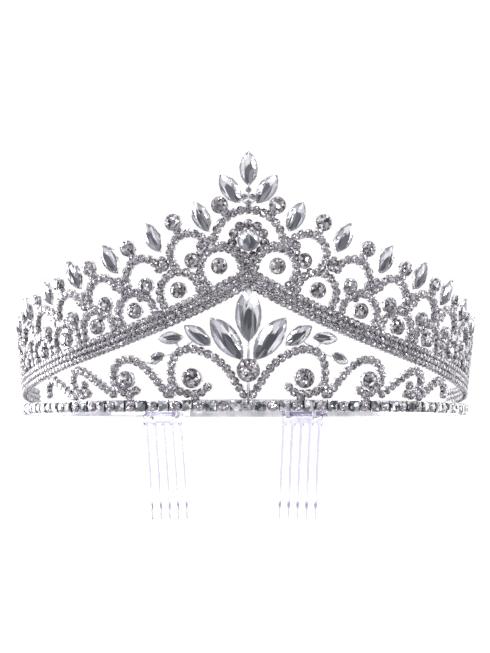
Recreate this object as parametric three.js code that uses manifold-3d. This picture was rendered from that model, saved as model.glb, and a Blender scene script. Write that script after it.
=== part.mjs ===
// Bridal tiara: a soldered rhinestone frame on a curved base rail, with navette stones and two clear combs.
// Millimetres, +Z up. The front faces -Y, and left and right are as seen from the front.
// The origin is the centre of the base ring, level with the rail's bottom edge.
import * as THREE from "three";
import { ConvexGeometry } from "three/addons/geometries/ConvexGeometry.js";
import { mergeVertices } from "three/addons/utils/BufferGeometryUtils.js";
import Module from "manifold-3d";

const wasm = await Module();
wasm.setup();

// The ring that the frame is bent round, and the lean of its face.
const degree = Math.PI / 180;
const ringRadius = 75;
const lean = 6 * degree;
const railHeight = 3.5;
const stonesEnd = 104; // where the set part of the base rail ends, in degrees from the front
const tailEnds = [-163, 170]; // where the plain strips behind it end
const chain = 1.1; // half the width of a cup chain
const chainDepth = 1.2; // how far a cup chain's middle stands off the frame's back
const backWire = 0.5; // radius of the wires behind the navettes
const clearance = 0.3;
const sides = [
  { name: "left", sign: -1 },
  { name: "right", sign: 1 },
];

const silver = new THREE.MeshStandardMaterial({ color: 0xd6d6da, metalness: 1, roughness: 0.2 });
const crystal = new THREE.MeshStandardMaterial({ color: 0xf2f3f7, metalness: 0.1, roughness: 0.05 });
const clearPlastic = new THREE.MeshStandardMaterial({ color: 0xeef0fa, metalness: 0, roughness: 0.1 });

const tiara = new THREE.Group();

// ---- Solids ----------------------------------------------------------------------------------

function solidOf(geometry) {
  const bare = geometry.clone();
  bare.deleteAttribute("normal");
  bare.deleteAttribute("uv");
  const merged = mergeVertices(bare, 1e-4);
  return new wasm.Manifold(
    new wasm.Mesh({
      numProp: 3,
      vertProperties: merged.getAttribute("position").array,
      triVerts: new Uint32Array(merged.getIndex().array),
    }),
  );
}

function geometryOf(solid) {
  const made = solid.getMesh();
  const geometry = new THREE.BufferGeometry();
  geometry.setAttribute("position", new THREE.BufferAttribute(made.vertProperties, 3));
  geometry.setIndex(new THREE.BufferAttribute(made.triVerts, 1));
  geometry.computeVertexNormals();
  return geometry;
}

function join(geometries) {
  return geometryOf(geometries.map(solidOf).reduce((whole, piece) => whole.add(piece)));
}

function addPiece(name, geometry, material) {
  const mesh = new THREE.Mesh(geometry, material);
  mesh.name = name;
  tiara.add(mesh);
  return mesh;
}

// ---- Places on the leaning face --------------------------------------------------------------

// A point on the face: degrees round from the front, height, and how far out of the frame's back.
function onFace(turn, height, out) {
  const radius = ringRadius + height * Math.tan(lean) + out * Math.cos(lean);
  const angle = turn * degree;
  const level = height - out * Math.sin(lean);
  return new THREE.Vector3(radius * Math.sin(angle), -radius * Math.cos(angle), level);
}

function degreesFor(length, height) {
  return length / (ringRadius + height * Math.tan(lean)) / degree;
}

// The place `along` mm further round and `up` mm higher than a place, as [turn, height].
function beside([turn, height], along, up) {
  const level = height + up * Math.cos(lean);
  return [turn + degreesFor(along, level), level];
}

// x runs round the ring, y up the face and z out of it, then all of it turns by spin.
function faceMatrix([turn, height], out, spin = 0) {
  const angle = turn * degree;
  const round = new THREE.Vector3(Math.cos(angle), Math.sin(angle), 0);
  const outward = new THREE.Vector3(Math.sin(angle), -Math.cos(angle), 0);
  const up = outward.clone().multiplyScalar(Math.sin(lean));
  up.z = Math.cos(lean);
  const normal = new THREE.Vector3().crossVectors(round, up);
  return new THREE.Matrix4()
    .makeBasis(round, up, normal)
    .setPosition(onFace(turn, height, out))
    .multiply(new THREE.Matrix4().makeRotationZ(spin));
}

function mirrored(places, sign) {
  return places.map(([turn, height]) => [sign * turn, height]);
}

// A rod with the given number of sides that runs through places on the face.
function rod(places, radius, out, rodSides) {
  const path = new THREE.CatmullRomCurve3(places.map(([turn, height]) => onFace(turn, height, out)));
  const corners = Array.from({ length: rodSides }, (_, i) => {
    const angle = (2 * Math.PI * i) / rodSides;
    return new THREE.Vector2(radius * Math.cos(angle), radius * Math.sin(angle));
  });
  return new THREE.ExtrudeGeometry(new THREE.Shape(corners), {
    steps: places.length - 1,
    extrudePath: path,
    bevelEnabled: false,
  });
}

// A row of small stones in their cups, as one rod.
function cupChain(places, radius = chain) {
  return rod(places, radius, chainDepth, 6);
}

// A round wire soldered to the back of the frame.
function wire(places) {
  return rod(places, backWire, backWire + 0.1, 4);
}

// Places on a circle round a centre, from one angle to another; 0 points away from the front.
function arcPlaces(centre, radius, from, to, steps) {
  return Array.from({ length: steps + 1 }, (_, i) => {
    const angle = (from + ((to - from) * i) / steps) * degree;
    return beside(centre, radius * Math.cos(angle), radius * Math.sin(angle));
  });
}

// ---- Stones ----------------------------------------------------------------------------------

// A navette's outline: two arcs that meet in a point at each end.
function navetteOutline(length, width, points = 5) {
  const half = length / 2;
  const side = width / 2;
  const arcRadius = (half * half + side * side) / (2 * side);
  const outline = [];
  for (let i = 0; i < points; i++) {
    const y = half * Math.cos((Math.PI * i) / points);
    const x = Math.sqrt(arcRadius * arcRadius - y * y) - arcRadius + side;
    outline.push([x, y], [-x, -y]);
  }
  return outline;
}

// A cut stone stands on its culet: pavilion, girdle, crown and a flat table.
function cutStone(outline, depth, tableShare, ridge) {
  const girdle = 0.6 * depth;
  const points = [];
  for (const [x, y] of outline) {
    points.push(new THREE.Vector3(x, y, girdle));
    points.push(new THREE.Vector3(x * tableShare, y * tableShare, depth));
  }
  points.push(new THREE.Vector3(0, ridge, 0), new THREE.Vector3(0, -ridge, 0));
  return new ConvexGeometry(points);
}

function navette(length, width, depth = 0.45 * width) {
  return cutStone(navetteOutline(length, width), depth, 0.55, 0.2 * length);
}

function roundStone(diameter, depth = 0.55 * diameter) {
  const corners = Array.from({ length: 8 }, (_, i) => [
    (diameter / 2) * Math.cos(i * 45 * degree),
    (diameter / 2) * Math.sin(i * 45 * degree),
  ]);
  return cutStone(corners, depth, 0.55, 0.02 * diameter);
}

function roundCup(place, diameter, depth = 2.4) {
  const cup = new THREE.CylinderGeometry(diameter / 2, diameter / 2, depth, 8);
  cup.rotateX(90 * degree);
  cup.translate(0, 0, depth / 2 + 0.25);
  return cup.applyMatrix4(faceMatrix(place, 0));
}

const stoneSeat = 2 * backWire + clearance; // the stones' culets clear the wires behind them

function setStone(name, geometry, place, spin = 0) {
  const mesh = addPiece(name, geometry, crystal);
  faceMatrix(place, stoneSeat, spin).decompose(mesh.position, mesh.quaternion, mesh.scale);
}

// ---- Guide lines of the design ---------------------------------------------------------------

// 1 over the front, falling to nearly 0 where the crown runs out at the sides.
const taperStart = 45;
const taperLength = 62;
function taper(turn) {
  return 1 - Math.max(0, (turn - taperStart) / taperLength) ** 1.5;
}

// Lower edge of the gable band: it falls from the apex and levels out above the rail.
const apexRise = 32.3;
const gableFall = 41;
function gableFoot(turn) {
  return railHeight + apexRise * Math.exp(-turn / gableFall) * taper(turn);
}

// How steeply the gable falls, as an angle on the face.
function gableSlope(turn) {
  return Math.atan((gableFoot(turn) - gableFoot(turn + 1)) / (ringRadius * degree));
}

const gableRowPitch = 1.85;
const gableRowRadius = 0.75;

// The middle of one of the band's three rows, 0 for the lowest.
function gableRowHeight(turn, row) {
  return gableFoot(turn) + (gableRowRadius + 0.2 + row * gableRowPitch) / Math.cos(gableSlope(turn));
}

const latticeStep = 10.5; // degrees from one scallop to the next
const lowerRadius = 6.1;
const upperRadius = 5.9;
const lowerScallops = [4.7, ...Array.from({ length: 8 }, (_, i) => 14 + latticeStep * i)];
const upperScallops = Array.from({ length: 8 }, (_, i) => 12.3 + latticeStep * i);

function scallopScale(turn) {
  return 0.4 + 0.6 * taper(turn);
}

// The place at an angle and a distance from a centre; 0 degrees points away from the front.
function around(centre, distance, angle) {
  return beside(centre, distance * Math.cos(angle * degree), distance * Math.sin(angle * degree));
}

// How far a lower scallop's centre stands off the gable's top row.
function lowerRise(turn) {
  return 0.26 * lowerRadius * scallopScale(turn) + clearance + 2.2 * Math.exp(-turn / 8);
}

// A lower scallop leans with the gable.
function lowerCentre(turn) {
  const slope = gableSlope(turn);
  const seat = gableRowHeight(turn, 2) + (gableRowRadius + clearance) / Math.cos(slope);
  const rise = lowerRise(turn);
  return beside([turn, seat], rise * Math.sin(slope), rise * Math.cos(slope));
}

function upperCentre(turn) {
  const [, height] = lowerCentre(turn);
  return [turn, height + (8 + 4 * Math.exp(-turn / 20)) * scallopScale(turn)];
}

// ---- Base rail and its row of stones ---------------------------------------------------------

// A ring of the given [radius, height] section that runs from one angle round the front to another.
function openRing(section, [from, to]) {
  const profile = [...section, section[0]].map(([radius, height]) => new THREE.Vector2(radius, height));
  const ring = new THREE.LatheGeometry(profile, 72);
  ring.rotateX(90 * degree); // the lathe's axis, +Y, becomes +Z
  const reach = 2 * ringRadius;
  const edge = (turn) => new THREE.Vector2(reach * Math.sin(turn * degree), -reach * Math.cos(turn * degree));
  const corners = [new THREE.Vector2(0, 0), ...[from, -60, 0, 60, to].map(edge)];
  const wedge = new THREE.Shape(corners);
  const keep = new THREE.ExtrudeGeometry(wedge, { depth: 40, bevelEnabled: false });
  keep.translate(0, 0, -20);
  return geometryOf(solidOf(ring).intersect(solidOf(keep)));
}

const stripThickness = 0.8;
const flangeDepth = 2.2;
const flange = 0.4;

function baseRail() {
  const back = ringRadius;
  const channel = [
    [back, 0],
    [back + flangeDepth, 0],
    [back + flangeDepth, flange],
    [back + stripThickness, flange],
    [back + stripThickness, railHeight - flange],
    [back + flangeDepth, railHeight - flange],
    [back + flangeDepth, railHeight],
    [back, railHeight],
  ];
  const strip = [
    [back, 0],
    [back + stripThickness, 0],
    [back + stripThickness, railHeight],
    [back, railHeight],
  ];
  return join([openRing(channel, [-stonesEnd, stonesEnd]), openRing(strip, tailEnds)]);
}

function baseStoneRow() {
  const inner = ringRadius + stripThickness + 0.2;
  const low = flange + 0.2;
  const high = railHeight - flange - 0.2;
  const section = [
    [inner, low],
    [inner + 1.5, low],
    [inner + 1.5, high],
    [inner, high],
  ];
  return openRing(section, [1 - stonesEnd, stonesEnd - 1]);
}

addPiece("base_rail", baseRail(), silver);
addPiece("base_stone_row", baseStoneRow(), crystal);

// ---- Gable band: three rows of small stones, one above the other ------------------------------

const gableEnd = 102;

function gableRow(row) {
  const places = [];
  for (let turn = -gableEnd; turn <= gableEnd; turn += 6) {
    places.push([turn, gableRowHeight(Math.abs(turn), row)]);
  }
  return rod(places, gableRowRadius, chainDepth, 6);
}

["lower", "middle", "upper"].forEach((name, row) => {
  addPiece(`gable_row_${name}`, gableRow(row), silver);
});

// ---- Centre arch with a round stone on each shoulder -------------------------------------------

const archCentre = [0, 48.3];
const archRadius = 10.1;
const archShoulder = 54; // degrees up from the horizontal

function centreArch() {
  const pieces = [cupChain(arcPlaces(archCentre, archRadius, 0, 180, 10))];
  for (const angle of [archShoulder, 180 - archShoulder]) {
    const cup = around(archCentre, archRadius + 4.2, angle);
    pieces.push(roundCup(cup, 4.8), wire([cup, around(archCentre, archRadius, angle)]));
  }
  return join(pieces);
}

addPiece("centre_arch", centreArch(), silver);

// ---- Halo inside the centre arch: a ring of small stones on the first two scallops ----------------

const haloCentre = [0, 50];
const haloRadius = 5;

// A lower scallop with its round stone, tied to both of its ends by a wire.
function lowerScallop(turn) {
  const scale = scallopScale(turn);
  const centre = lowerCentre(turn);
  const radius = lowerRadius * scale;
  const slope = gableSlope(turn) / degree;
  const spread = Math.asin((lowerRise(turn) - clearance) / radius) / degree;
  const stone = around(centre, 0.9 * scale, 90 - slope);
  return {
    chain: arcPlaces(centre, radius, -spread - slope, 180 + spread - slope, 6),
    wires: [[around(centre, radius, -2 - slope), around(centre, radius, 182 - slope)]],
    cups: [[stone, 4.4 * scale]],
  };
}

// The geometries of one scallop, on the side that sign gives.
function scallopPieces(scallop, sign) {
  return [
    cupChain(mirrored(scallop.chain, sign)),
    ...scallop.wires.map((places) => wire(mirrored(places, sign))),
    ...scallop.cups.map(([[turn, height], diameter]) => roundCup([sign * turn, height], diameter)),
  ];
}

function haloRing() {
  const half = (from, to) => cupChain(arcPlaces(haloCentre, haloRadius, from, to, 7), 0.95);
  const arm = (sign) => cupChain(mirrored([[3.4, 48.6], [5.4, 48.4]], sign), 0.9);
  const foot = roundCup([0, 43.4], 2 * chain, 2.2);
  const first = lowerScallop(lowerScallops[0]);
  return join([
    half(0, 185),
    half(180, 365),
    arm(1),
    arm(-1),
    foot,
    ...scallopPieces(first, 1),
    ...scallopPieces(first, -1),
  ]);
}

addPiece("halo_ring", haloRing(), silver);
setStone("halo_stone", roundStone(6.9), haloCentre);

// ---- Crest: three navettes on a fan of wires above the arch -------------------------------------

const crestFoot = [0, 60.6];
const crestNavettes = [
  { name: "crest_navette_centre", place: [0, 69.8], tilt: 0 },
  { name: "crest_navette_left", place: [-3.75, 64.6], tilt: -36 },
  { name: "crest_navette_right", place: [3.75, 64.6], tilt: 36 },
];

function crestSetting() {
  const wires = crestNavettes.map(({ place }) => wire([crestFoot, place]));
  return join([...wires, roundCup([0, 61.3], 2.1, 2)]);
}

addPiece("crest_setting", crestSetting(), silver);
for (const { name, place, tilt } of crestNavettes) {
  setStone(name, navette(9.6, 5), place, -tilt * degree);
}

// ---- Scallop lattice: two staggered rows of arches, each with a round stone -------------------

const edgeTilt = 26; // how far the edge navettes lean away from the front
const edgeNavette = { length: 9.6, width: 4.8 };

function edgePlace(turn) {
  const scale = scallopScale(turn);
  return beside(upperCentre(turn), -3.6 * scale, 11.3 * scale);
}

// An upper scallop runs from its neighbour's flank to a lower one's top. The first ends just above
// the scallop that carries the halo.
function upperScallop(i) {
  const turn = upperScallops[i];
  const scale = scallopScale(turn);
  const centre = upperCentre(turn);
  const radius = upperRadius * scale;
  const near = lowerScallops[i + 1];
  const below = around(lowerCentre(near), lowerRadius * scallopScale(near), 90);
  let start = [[10, 48.2]];
  if (i > 0) {
    const last = upperScallops[i - 1];
    start = [around(upperCentre(last), upperRadius * scallopScale(last), -22)];
  }
  const arc = arcPlaces(centre, radius, -40, i > 0 ? 155 : 118, 6);
  const drop = around(centre, 2.2 * scale, i > 0 ? 255 : 290);
  const shoulder = around(centre, 10.3 * scale, 63);
  return {
    chain: [below, ...arc, ...start],
    wires: [
      [shoulder, around(centre, radius, 63)],
      [edgePlace(turn), around(centre, radius, 112)],
      [drop, around(lowerCentre(near), lowerRadius * scallopScale(near), 100)],
    ],
    cups: [
      [drop, 4.4 * scale],
      [shoulder, 4.8 * scale],
    ],
  };
}

function lattice(sign) {
  const scallops = lowerScallops.slice(1).map(lowerScallop);
  scallops.push(...upperScallops.map((_, i) => upperScallop(i)));
  return join(scallops.flatMap((scallop) => scallopPieces(scallop, sign)));
}

for (const { name, sign } of sides) {
  addPiece(`lattice_${name}`, lattice(sign), silver);
  upperScallops.forEach((turn, i) => {
    const scale = scallopScale(turn);
    const [edgeTurn, edgeHeight] = edgePlace(turn);
    const stone = navette(edgeNavette.length * scale, edgeNavette.width * scale);
    const place = [sign * edgeTurn, edgeHeight];
    setStone(`edge_navette_${name}_${i + 1}`, stone, place, -sign * edgeTilt * degree);
  });
}

// ---- Palmette under the gable -----------------------------------------------------------------

const heart = [0, 11.7];
const leaves = [
  { name: "leaf_inner", place: [4.7, 21.3], tilt: 37, length: 14.6, width: 6.6 },
  { name: "leaf_middle", place: [10.8, 22.3], tilt: 54, length: 9.8, width: 4.8 },
  { name: "leaf_outer", place: [16.9, 21.7], tilt: 93, length: 7.8, width: 3.8 },
  { name: "leaf_tip", place: [20.5, 16.2], tilt: 116, length: 5.8, width: 2.8 },
];

function palmetteSetting() {
  const stem = wire([[0, 4.2], [0, 16], [0, 28]]);
  const branch = (sign) => wire(mirrored([[0, 13], [4.7, 21.3]], sign));
  return join([stem, branch(1), branch(-1)]);
}

addPiece("palmette_setting", palmetteSetting(), silver);
setStone("palmette_heart", roundStone(6.6), heart);
setStone("leaf_centre", navette(14.4, 7), [0, 27.9]);
for (const { name, sign } of sides) {
  for (const leaf of leaves) {
    const place = [sign * leaf.place[0], leaf.place[1]];
    setStone(`${leaf.name}_${name}`, navette(leaf.length, leaf.width), place, -sign * leaf.tilt * degree);
  }
}

// ---- Scrolls: each rises from the rail, rolls over and curls under itself ----------------------

const scrollPaths = [
  [
    [1.3, 5.2], [2.7, 8.4], [4.4, 12], [6.5, 14.9], [9, 17], [12, 18.3], [14.6, 17.9],
    [16.5, 15.7], [17.2, 12.3], [17, 8.6], [15.6, 6], [13, 5], [10.4, 5.2], [8.5, 7.8],
  ],
  [
    [18.4, 5], [20, 8], [22, 11.3], [24.2, 14], [27, 15.6], [29.8, 15.1],
    [31.5, 12.8], [32, 9.6], [31, 6.6], [29, 5.1], [26.8, 5], [25.2, 6.9],
  ],
  [
    [34.6, 5], [35.6, 8], [37.3, 10.7], [39.8, 12.5], [42.3, 12.4], [44, 10.6],
    [44, 8], [42.6, 5.8], [40.6, 4.95], [38.7, 6],
  ],
  [[46.2, 4.95], [48, 6.8], [50.4, 8.4], [53.2, 9.2], [56, 8.6], [57.8, 6.6], [57.4, 4.9]],
];
const scrollStones = [
  { stone: "inner", place: [12.4, 9.9], diameter: 5.7 },
  { stone: "outer", place: [27.9, 9.6], diameter: 5 },
  { stone: "side", place: [41, 8.3], diameter: 3 },
];
const sprayFoot = [14.6, 17.9]; // where the leaves' wires leave the first scroll

for (const { name, sign } of sides) {
  scrollPaths.forEach((path, i) => {
    const pieces = [cupChain(mirrored(path, sign))];
    if (i === 0) {
      for (const { place } of leaves.slice(1)) {
        pieces.push(wire(mirrored([sprayFoot, place], sign)));
      }
    }
    addPiece(`scroll_${i + 1}_${name}`, join(pieces), silver);
  });
  for (const { stone, place, diameter } of scrollStones) {
    const [turn, height] = place;
    setStone(`scroll_stone_${stone}_${name}`, roundStone(diameter), [sign * turn, height]);
  }
}

// ---- Combs, wired to the plain strips behind the ears ------------------------------------------

const combTurns = [-153.5, 160.5]; // the strips are bent round a little unevenly
const combWidth = 17;
const combTilt = 10 * degree; // the teeth point a little towards the head
const rodRadius = 1.5;
const rodHeight = 1.75;
const toothCount = 5;
const toothPitch = 3.75;
const toothLength = 39;
const spineDrop = 4.7; // from the rod's axis to the bottom of the spine
const combThickness = 1.6;
const windowHeight = 1.8;
const windowWidth = 2;
const wireThickness = 0.7;
const loopOffset = 1.5 * toothPitch;

// The comb lies along a chord, so its ends come nearest to the strip.
const rodReach = Math.sqrt((ringRadius - clearance - rodRadius) ** 2 - (combWidth / 2) ** 2);

// x along the comb, y towards the outside of the ring and z up, with the rod's axis on x.
function combMatrix(turn) {
  const angle = turn * degree;
  const outward = new THREE.Vector3(Math.sin(angle), -Math.cos(angle), 0);
  const along = new THREE.Vector3(outward.y, -outward.x, 0);
  const up = new THREE.Vector3(0, 0, 1);
  const place = outward.clone().multiplyScalar(rodReach);
  place.z = rodHeight;
  return new THREE.Matrix4().makeBasis(along, outward, up).setPosition(place);
}

function combBlank() {
  const tooth = toothPitch / 4;
  const outline = new THREE.Shape();
  outline.moveTo(-combWidth / 2, 0);
  outline.lineTo(-combWidth / 2, -spineDrop);
  for (let i = 0; i < toothCount; i++) {
    const x = (i - (toothCount - 1) / 2) * toothPitch;
    outline.lineTo(x - tooth, -spineDrop);
    outline.lineTo(x - 0.7 * tooth, -spineDrop - 0.85 * toothLength);
    outline.lineTo(x - 0.3 * tooth, -spineDrop - toothLength);
    outline.lineTo(x + 0.3 * tooth, -spineDrop - toothLength);
    outline.lineTo(x + 0.7 * tooth, -spineDrop - 0.85 * toothLength);
    outline.lineTo(x + tooth, -spineDrop);
  }
  outline.lineTo(combWidth / 2, -spineDrop);
  outline.lineTo(combWidth / 2, 0);
  const blank = new THREE.ExtrudeGeometry(outline, { depth: combThickness, bevelEnabled: false });
  blank.translate(0, 0, -combThickness / 2);
  blank.rotateX(90 * degree); // the outline's y becomes z, and its depth runs along y
  return blank;
}

function comb() {
  const barrel = new THREE.CylinderGeometry(rodRadius, rodRadius, combWidth, 12);
  barrel.rotateZ(90 * degree);
  let solid = solidOf(combBlank()).add(solidOf(barrel));
  for (const x of [-loopOffset, loopOffset]) {
    const slot = new THREE.BoxGeometry(windowWidth, 4, windowHeight);
    slot.translate(x, 0, -rodRadius - windowHeight / 2);
    solid = solid.subtract(solidOf(slot));
  }
  const geometry = geometryOf(solid);
  geometry.rotateX(-combTilt);
  return geometry;
}

// One turn of wire round the rod and the strip, as a slot-shaped ring seen along the comb.
function loopOutline(halfHeight, inner, outer) {
  const points = [];
  for (let a = 90; a <= 270; a += 30) {
    const angle = a * degree;
    points.push(new THREE.Vector2(inner + halfHeight * Math.cos(angle), halfHeight * Math.sin(angle)));
  }
  points.push(new THREE.Vector2(outer, -halfHeight), new THREE.Vector2(outer, halfHeight));
  return points;
}

function combBinding() {
  const halfHeight = railHeight / 2 + clearance;
  const outer = ringRadius + stripThickness - rodReach + clearance;
  const shape = new THREE.Shape(loopOutline(halfHeight + wireThickness, 0, outer + wireThickness));
  shape.holes.push(new THREE.Path(loopOutline(halfHeight, 0, outer).reverse()));
  const pieces = [-loopOffset, loopOffset].map((x) => {
    const loop = new THREE.ExtrudeGeometry(shape, { depth: wireThickness, bevelEnabled: false });
    loop.translate(0, 0, -wireThickness / 2);
    loop.applyMatrix4(
      new THREE.Matrix4().makeBasis(
        new THREE.Vector3(0, 1, 0),
        new THREE.Vector3(0, 0, 1),
        new THREE.Vector3(1, 0, 0),
      ),
    );
    return loop.translate(x, 0, 0);
  });
  const bridge = new THREE.BoxGeometry(2 * loopOffset, wireThickness, wireThickness);
  bridge.translate(0, outer + wireThickness / 2, 0);
  return join([...pieces, bridge]);
}

sides.forEach(({ name }, i) => {
  for (const [piece, geometry, material] of [
    [`comb_${name}`, comb(), clearPlastic],
    [`comb_binding_${name}`, combBinding(), silver],
  ]) {
    const mesh = addPiece(piece, geometry, material);
    combMatrix(combTurns[i]).decompose(mesh.position, mesh.quaternion, mesh.scale);
  }
});

export default tiara;
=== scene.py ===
import math

import bpy
from mathutils import Matrix, Vector


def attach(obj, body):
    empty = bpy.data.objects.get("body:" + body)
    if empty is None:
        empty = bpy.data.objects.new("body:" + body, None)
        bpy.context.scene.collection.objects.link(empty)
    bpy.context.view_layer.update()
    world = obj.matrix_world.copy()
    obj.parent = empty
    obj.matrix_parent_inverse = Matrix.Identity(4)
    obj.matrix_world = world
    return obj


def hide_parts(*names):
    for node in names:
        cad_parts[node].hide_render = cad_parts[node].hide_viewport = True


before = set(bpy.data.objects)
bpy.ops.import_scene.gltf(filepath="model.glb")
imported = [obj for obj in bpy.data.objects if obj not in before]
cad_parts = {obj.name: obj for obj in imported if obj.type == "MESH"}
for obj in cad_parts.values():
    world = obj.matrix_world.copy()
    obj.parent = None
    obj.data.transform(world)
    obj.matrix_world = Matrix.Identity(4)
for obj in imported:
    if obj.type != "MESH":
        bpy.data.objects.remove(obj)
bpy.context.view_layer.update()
MM = 0.001

# ---- Base rail ---------------------------------------------------------------------------------
# A shallow U of brass strip, rolled into an open ring that sits on the head, with bright silvery plating.
# Behind the ears its two flanges stop and the plain strip carries on to the combs.

ring_radius = 75.0
rail_height = 3.5
strip_thickness = 0.8
flange_depth = 1.5
flange = 0.4
flange_bite = 0.1  # how far each flange starts inside the strip
edge_round = 0.13
stones_end = 104.0  # degrees round from the front, as are the ends of the tails
tail_ends = (-163.0, 170.0)


def srgb(code):
    channels = [int(code[i : i + 2], 16) / 255 for i in (1, 3, 5)]
    return [c / 12.92 if c <= 0.04045 else ((c + 0.055) / 1.055) ** 2.4 for c in channels] + [1.0]


def add_node(material, kind, settings=None, links=None):
    made = material.node_tree.nodes.new(kind)
    for key, value in (settings or {}).items():
        if isinstance(key, int) or key in made.inputs:
            made.inputs[key].default_value = value
        else:
            setattr(made, key, value)
    for key, (source, output) in (links or {}).items():
        material.node_tree.links.new(source.outputs[output], made.inputs[key])
    return made


def new_material(name, settings):
    material = bpy.data.materials.new(name)
    material.use_nodes = True
    shader = material.node_tree.nodes["Principled BSDF"]
    for key, value in settings.items():
        shader.inputs[key].default_value = value
    return material, shader


def drive(material, shader, socket, source, output):
    material.node_tree.links.new(source.outputs[output], shader.inputs[socket])


# Rhodium-bright plating on brass: cool and near white where the strip is polished, greyer on pressed
# cups and trays where the tumbling leaves a satin face, with painted shade for their dark recesses, in
# clouds, over fine ripples.
def plated(name, dull_and_painted_shade, bright, roughness, cloud):
    material, shader = new_material(name, {"Metallic": 1.0})
    place = add_node(material, "ShaderNodeTexCoord")
    clouds = add_node(
        material,
        "ShaderNodeTexNoise",
        {"Scale": 1 / (cloud * MM), "Detail": 3.0},
        {"Vector": (place, "Object")},
    )
    tone = add_node(material, "ShaderNodeValToRGB", {}, {"Fac": (clouds, "Fac")})
    tone.color_ramp.elements[0].position = 0.38
    tone.color_ramp.elements[0].color = srgb(dull_and_painted_shade)
    tone.color_ramp.elements[1].position = 0.62
    tone.color_ramp.elements[1].color = srgb(bright)
    drive(material, shader, "Base Color", tone, "Color")
    gloss = add_node(
        material,
        "ShaderNodeMapRange",
        {"From Min": 0.3, "From Max": 0.7, "To Min": roughness + 0.1, "To Max": roughness},
        {"Value": (clouds, "Fac")},
    )
    drive(material, shader, "Roughness", gloss, "Result")
    ripple = add_node(
        material,
        "ShaderNodeTexNoise",
        {"Scale": 1 / (0.8 * MM), "Detail": 1.0},
        {"Vector": (place, "Object")},
    )
    bump = add_node(
        material, "ShaderNodeBump", {"Strength": 0.2, "Distance": 0.05 * MM}, {"Height": (ripple, "Fac")}
    )
    drive(material, shader, "Normal", bump, "Normal")
    return material


strip_silver = plated("rhodium_plated_polished_strip", "#CDCBD2", "#F1F0F4", 0.16, 6.0)
wire_silver = plated("rhodium_plated_drawn_wire", "#D4D3D9", "#F6F5F9", 0.14, 2.5)
# The cups' dark tone, laid in clouds, is painted shade standing in for the recesses between the claws.
cup_silver_painted_shade = plated("rhodium_plated_pressed_cups_painted_shade", "#67646A", "#C8C4CA", 0.22, 0.8)


def only(*objs):
    """Selects these objects and nothing else, with the first one active."""
    bpy.ops.object.select_all(action="DESELECT")
    for o in objs:
        o.select_set(True)
    bpy.context.view_layer.objects.active = objs[0]


def pick(obj, faces):
    """Edit mode, with only the faces that the test takes selected."""
    only(obj)
    bpy.ops.object.mode_set(mode="EDIT")
    bpy.ops.mesh.select_mode(type="FACE")
    bpy.ops.mesh.select_all(action="DESELECT")
    bpy.ops.object.mode_set(mode="OBJECT")
    for face in obj.data.polygons:
        face.select = faces(face)
    bpy.ops.object.mode_set(mode="EDIT")


def outward(obj):
    """Doubles merged and all faces turned out."""
    only(obj)
    bpy.ops.object.mode_set(mode="EDIT")
    bpy.ops.mesh.select_all(action="SELECT")
    bpy.ops.mesh.remove_doubles(threshold=0.002 * MM)
    bpy.ops.mesh.normals_make_consistent(inside=False)
    bpy.ops.object.mode_set(mode="OBJECT")


def bevelled(obj, width, segments=2):
    modifier = obj.modifiers.new("edges", "BEVEL")
    modifier.width = width
    modifier.segments = segments
    modifier.limit_method = "ANGLE"
    modifier.angle_limit = math.radians(40)
    only(obj)
    bpy.ops.object.modifier_apply(modifier=modifier.name)


def smooth(obj, angle=40):
    only(obj)
    bpy.ops.object.shade_smooth_by_angle(angle=math.radians(angle))


def joined(name, objs):
    """One object made of all of these."""
    only(*objs)
    if len(objs) > 1:
        bpy.ops.object.join()
    made = bpy.context.view_layer.objects.active
    made.name = name
    made.data.name = name
    return made


def piece(obj, name, material, body="frame", stands_for=()):
    """Finishes a piece: its name, its material, the body it rides on and the solids it stands for."""
    obj.name = name
    obj.data.name = name
    obj.data.materials.clear()
    obj.data.materials.append(material)
    only(obj)
    bpy.ops.object.transform_apply(location=True, rotation=True, scale=True)
    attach(obj, body)
    if stands_for:
        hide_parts(*stands_for)
    return obj


def rolled_strip(inner, thickness, low, high, start, end):
    """A flat bar swept round the ring's axis from its start, for the angle between start and end.

    Known fault: the spin turns the opposite way from the angles here, so it leaves the start round the back.
    """
    bpy.ops.object.select_all(action="DESELECT")
    bpy.ops.mesh.primitive_plane_add(size=1, rotation=(math.pi / 2, 0, 0))
    bar = bpy.context.object
    bar.scale = (thickness * MM, (high - low) * MM, 1)
    bar.location = ((inner + thickness / 2) * MM, 0, (high + low) / 2 * MM)
    bpy.ops.object.transform_apply(location=True, rotation=True, scale=True)
    bar.data.transform(Matrix.Rotation(math.radians(start - 90), 4, "Z"))
    bpy.ops.object.mode_set(mode="EDIT")
    bpy.ops.mesh.select_all(action="SELECT")
    steps = max(8, round((end - start) / 2))
    bpy.ops.mesh.spin(steps=steps, angle=math.radians(end - start), center=(0, 0, 0), axis=(0, 0, 1))
    bpy.ops.object.mode_set(mode="OBJECT")
    outward(bar)
    bevelled(bar, edge_round * MM)
    return bar


# Known fault, as rolled_strip says: the strip's gap comes out beside the left comb and not at the back,
# and the flanges run round the back and not across the front.
rail_parts = [rolled_strip(ring_radius, strip_thickness, 0, rail_height, *tail_ends)]
for low, high in ((0, flange), (rail_height - flange, rail_height)):
    root = ring_radius + flange_bite
    rail_parts.append(rolled_strip(root, flange_depth - flange_bite, low, high, -stones_end, stones_end))
rail = joined("rail", rail_parts)
smooth(rail)
piece(rail, "rail", strip_silver, stands_for=["base_rail"])

# ---- Stones of the base rail -------------------------------------------------------------------
# Square and round foiled glass stones take turns along the channel, each pressed into a cup with
# four claws. The cups are soldered to the channel's floor, with a round stone at the very front.

lean = math.radians(6)  # how far the whole face leans out from upright
rail_pitch = 3.66
rail_seat = flange_depth - 0.1  # how far out the cups' backs sit
cup_ring = ring_radius + 2.0  # where the pitch is measured
end_margin = 2.0
square_stretch = 1.03


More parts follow.
